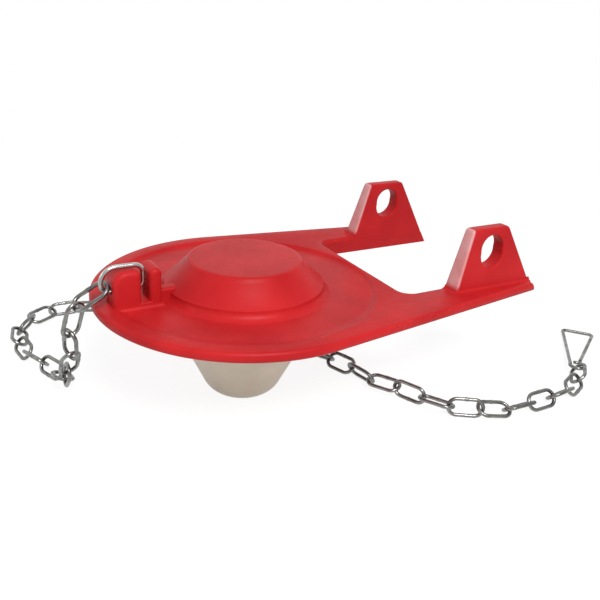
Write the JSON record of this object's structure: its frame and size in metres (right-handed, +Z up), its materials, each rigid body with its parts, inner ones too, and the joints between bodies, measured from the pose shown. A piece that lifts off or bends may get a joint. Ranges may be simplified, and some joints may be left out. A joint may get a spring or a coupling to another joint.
{
  "type": "toilet flapper",
  "caption": "Round red rubber cistern flapper with two pierced hinge ears, a tapered float cup under its hub, and a wire link pull chain ending in a long triangular hook.",
  "frame": {"origin": "middle of the float cup's flat foot, on the floor the part stands on", "axes": "+Z up through the hub, +X towards the two hinge ears, the pull chain's lug at -X"},
  "size_m": [0.2, 0.1284, 0.0544],
  "materials": {
    "red_rubber": "satin moulded rubber",
    "float_plastic": "plain moulded plastic, slightly translucent",
    "steel_wire": "bright drawn wire"
  },
  "bodies": {
    "root": {"flapper_body": "red_rubber", "float_cup": "float_plastic", "lug_ring": "steel_wire", "chain_link_01": "steel_wire", "chain_link_02": "steel_wire", "chain_link_03": "steel_wire", "chain_link_04": "steel_wire", "chain_link_05": "steel_wire", "chain_link_06": "steel_wire", "chain_link_07": "steel_wire", "chain_link_08": "steel_wire", "chain_link_09": "steel_wire", "chain_link_10": "steel_wire", "chain_link_11": "steel_wire", "chain_link_12": "steel_wire", "chain_link_13": "steel_wire", "chain_link_14": "steel_wire", "chain_link_15": "steel_wire", "chain_link_16": "steel_wire", "chain_link_17": "steel_wire", "chain_link_18": "steel_wire", "chain_link_19": "steel_wire", "chain_link_20": "steel_wire", "chain_link_21": "steel_wire", "chain_link_22": "steel_wire", "chain_link_23": "steel_wire", "chain_link_24": "steel_wire", "chain_link_25": "steel_wire", "chain_link_26": "steel_wire", "chain_link_27": "steel_wire", "chain_link_28": "steel_wire", "chain_link_29": "steel_wire", "chain_link_30": "steel_wire", "chain_link_31": "steel_wire", "chain_link_32": "steel_wire", "chain_link_33": "steel_wire", "chain_link_34": "steel_wire", "chain_link_35": "steel_wire", "chain_link_36": "steel_wire", "chain_hook": "steel_wire"}
  },
  "joints": []
}
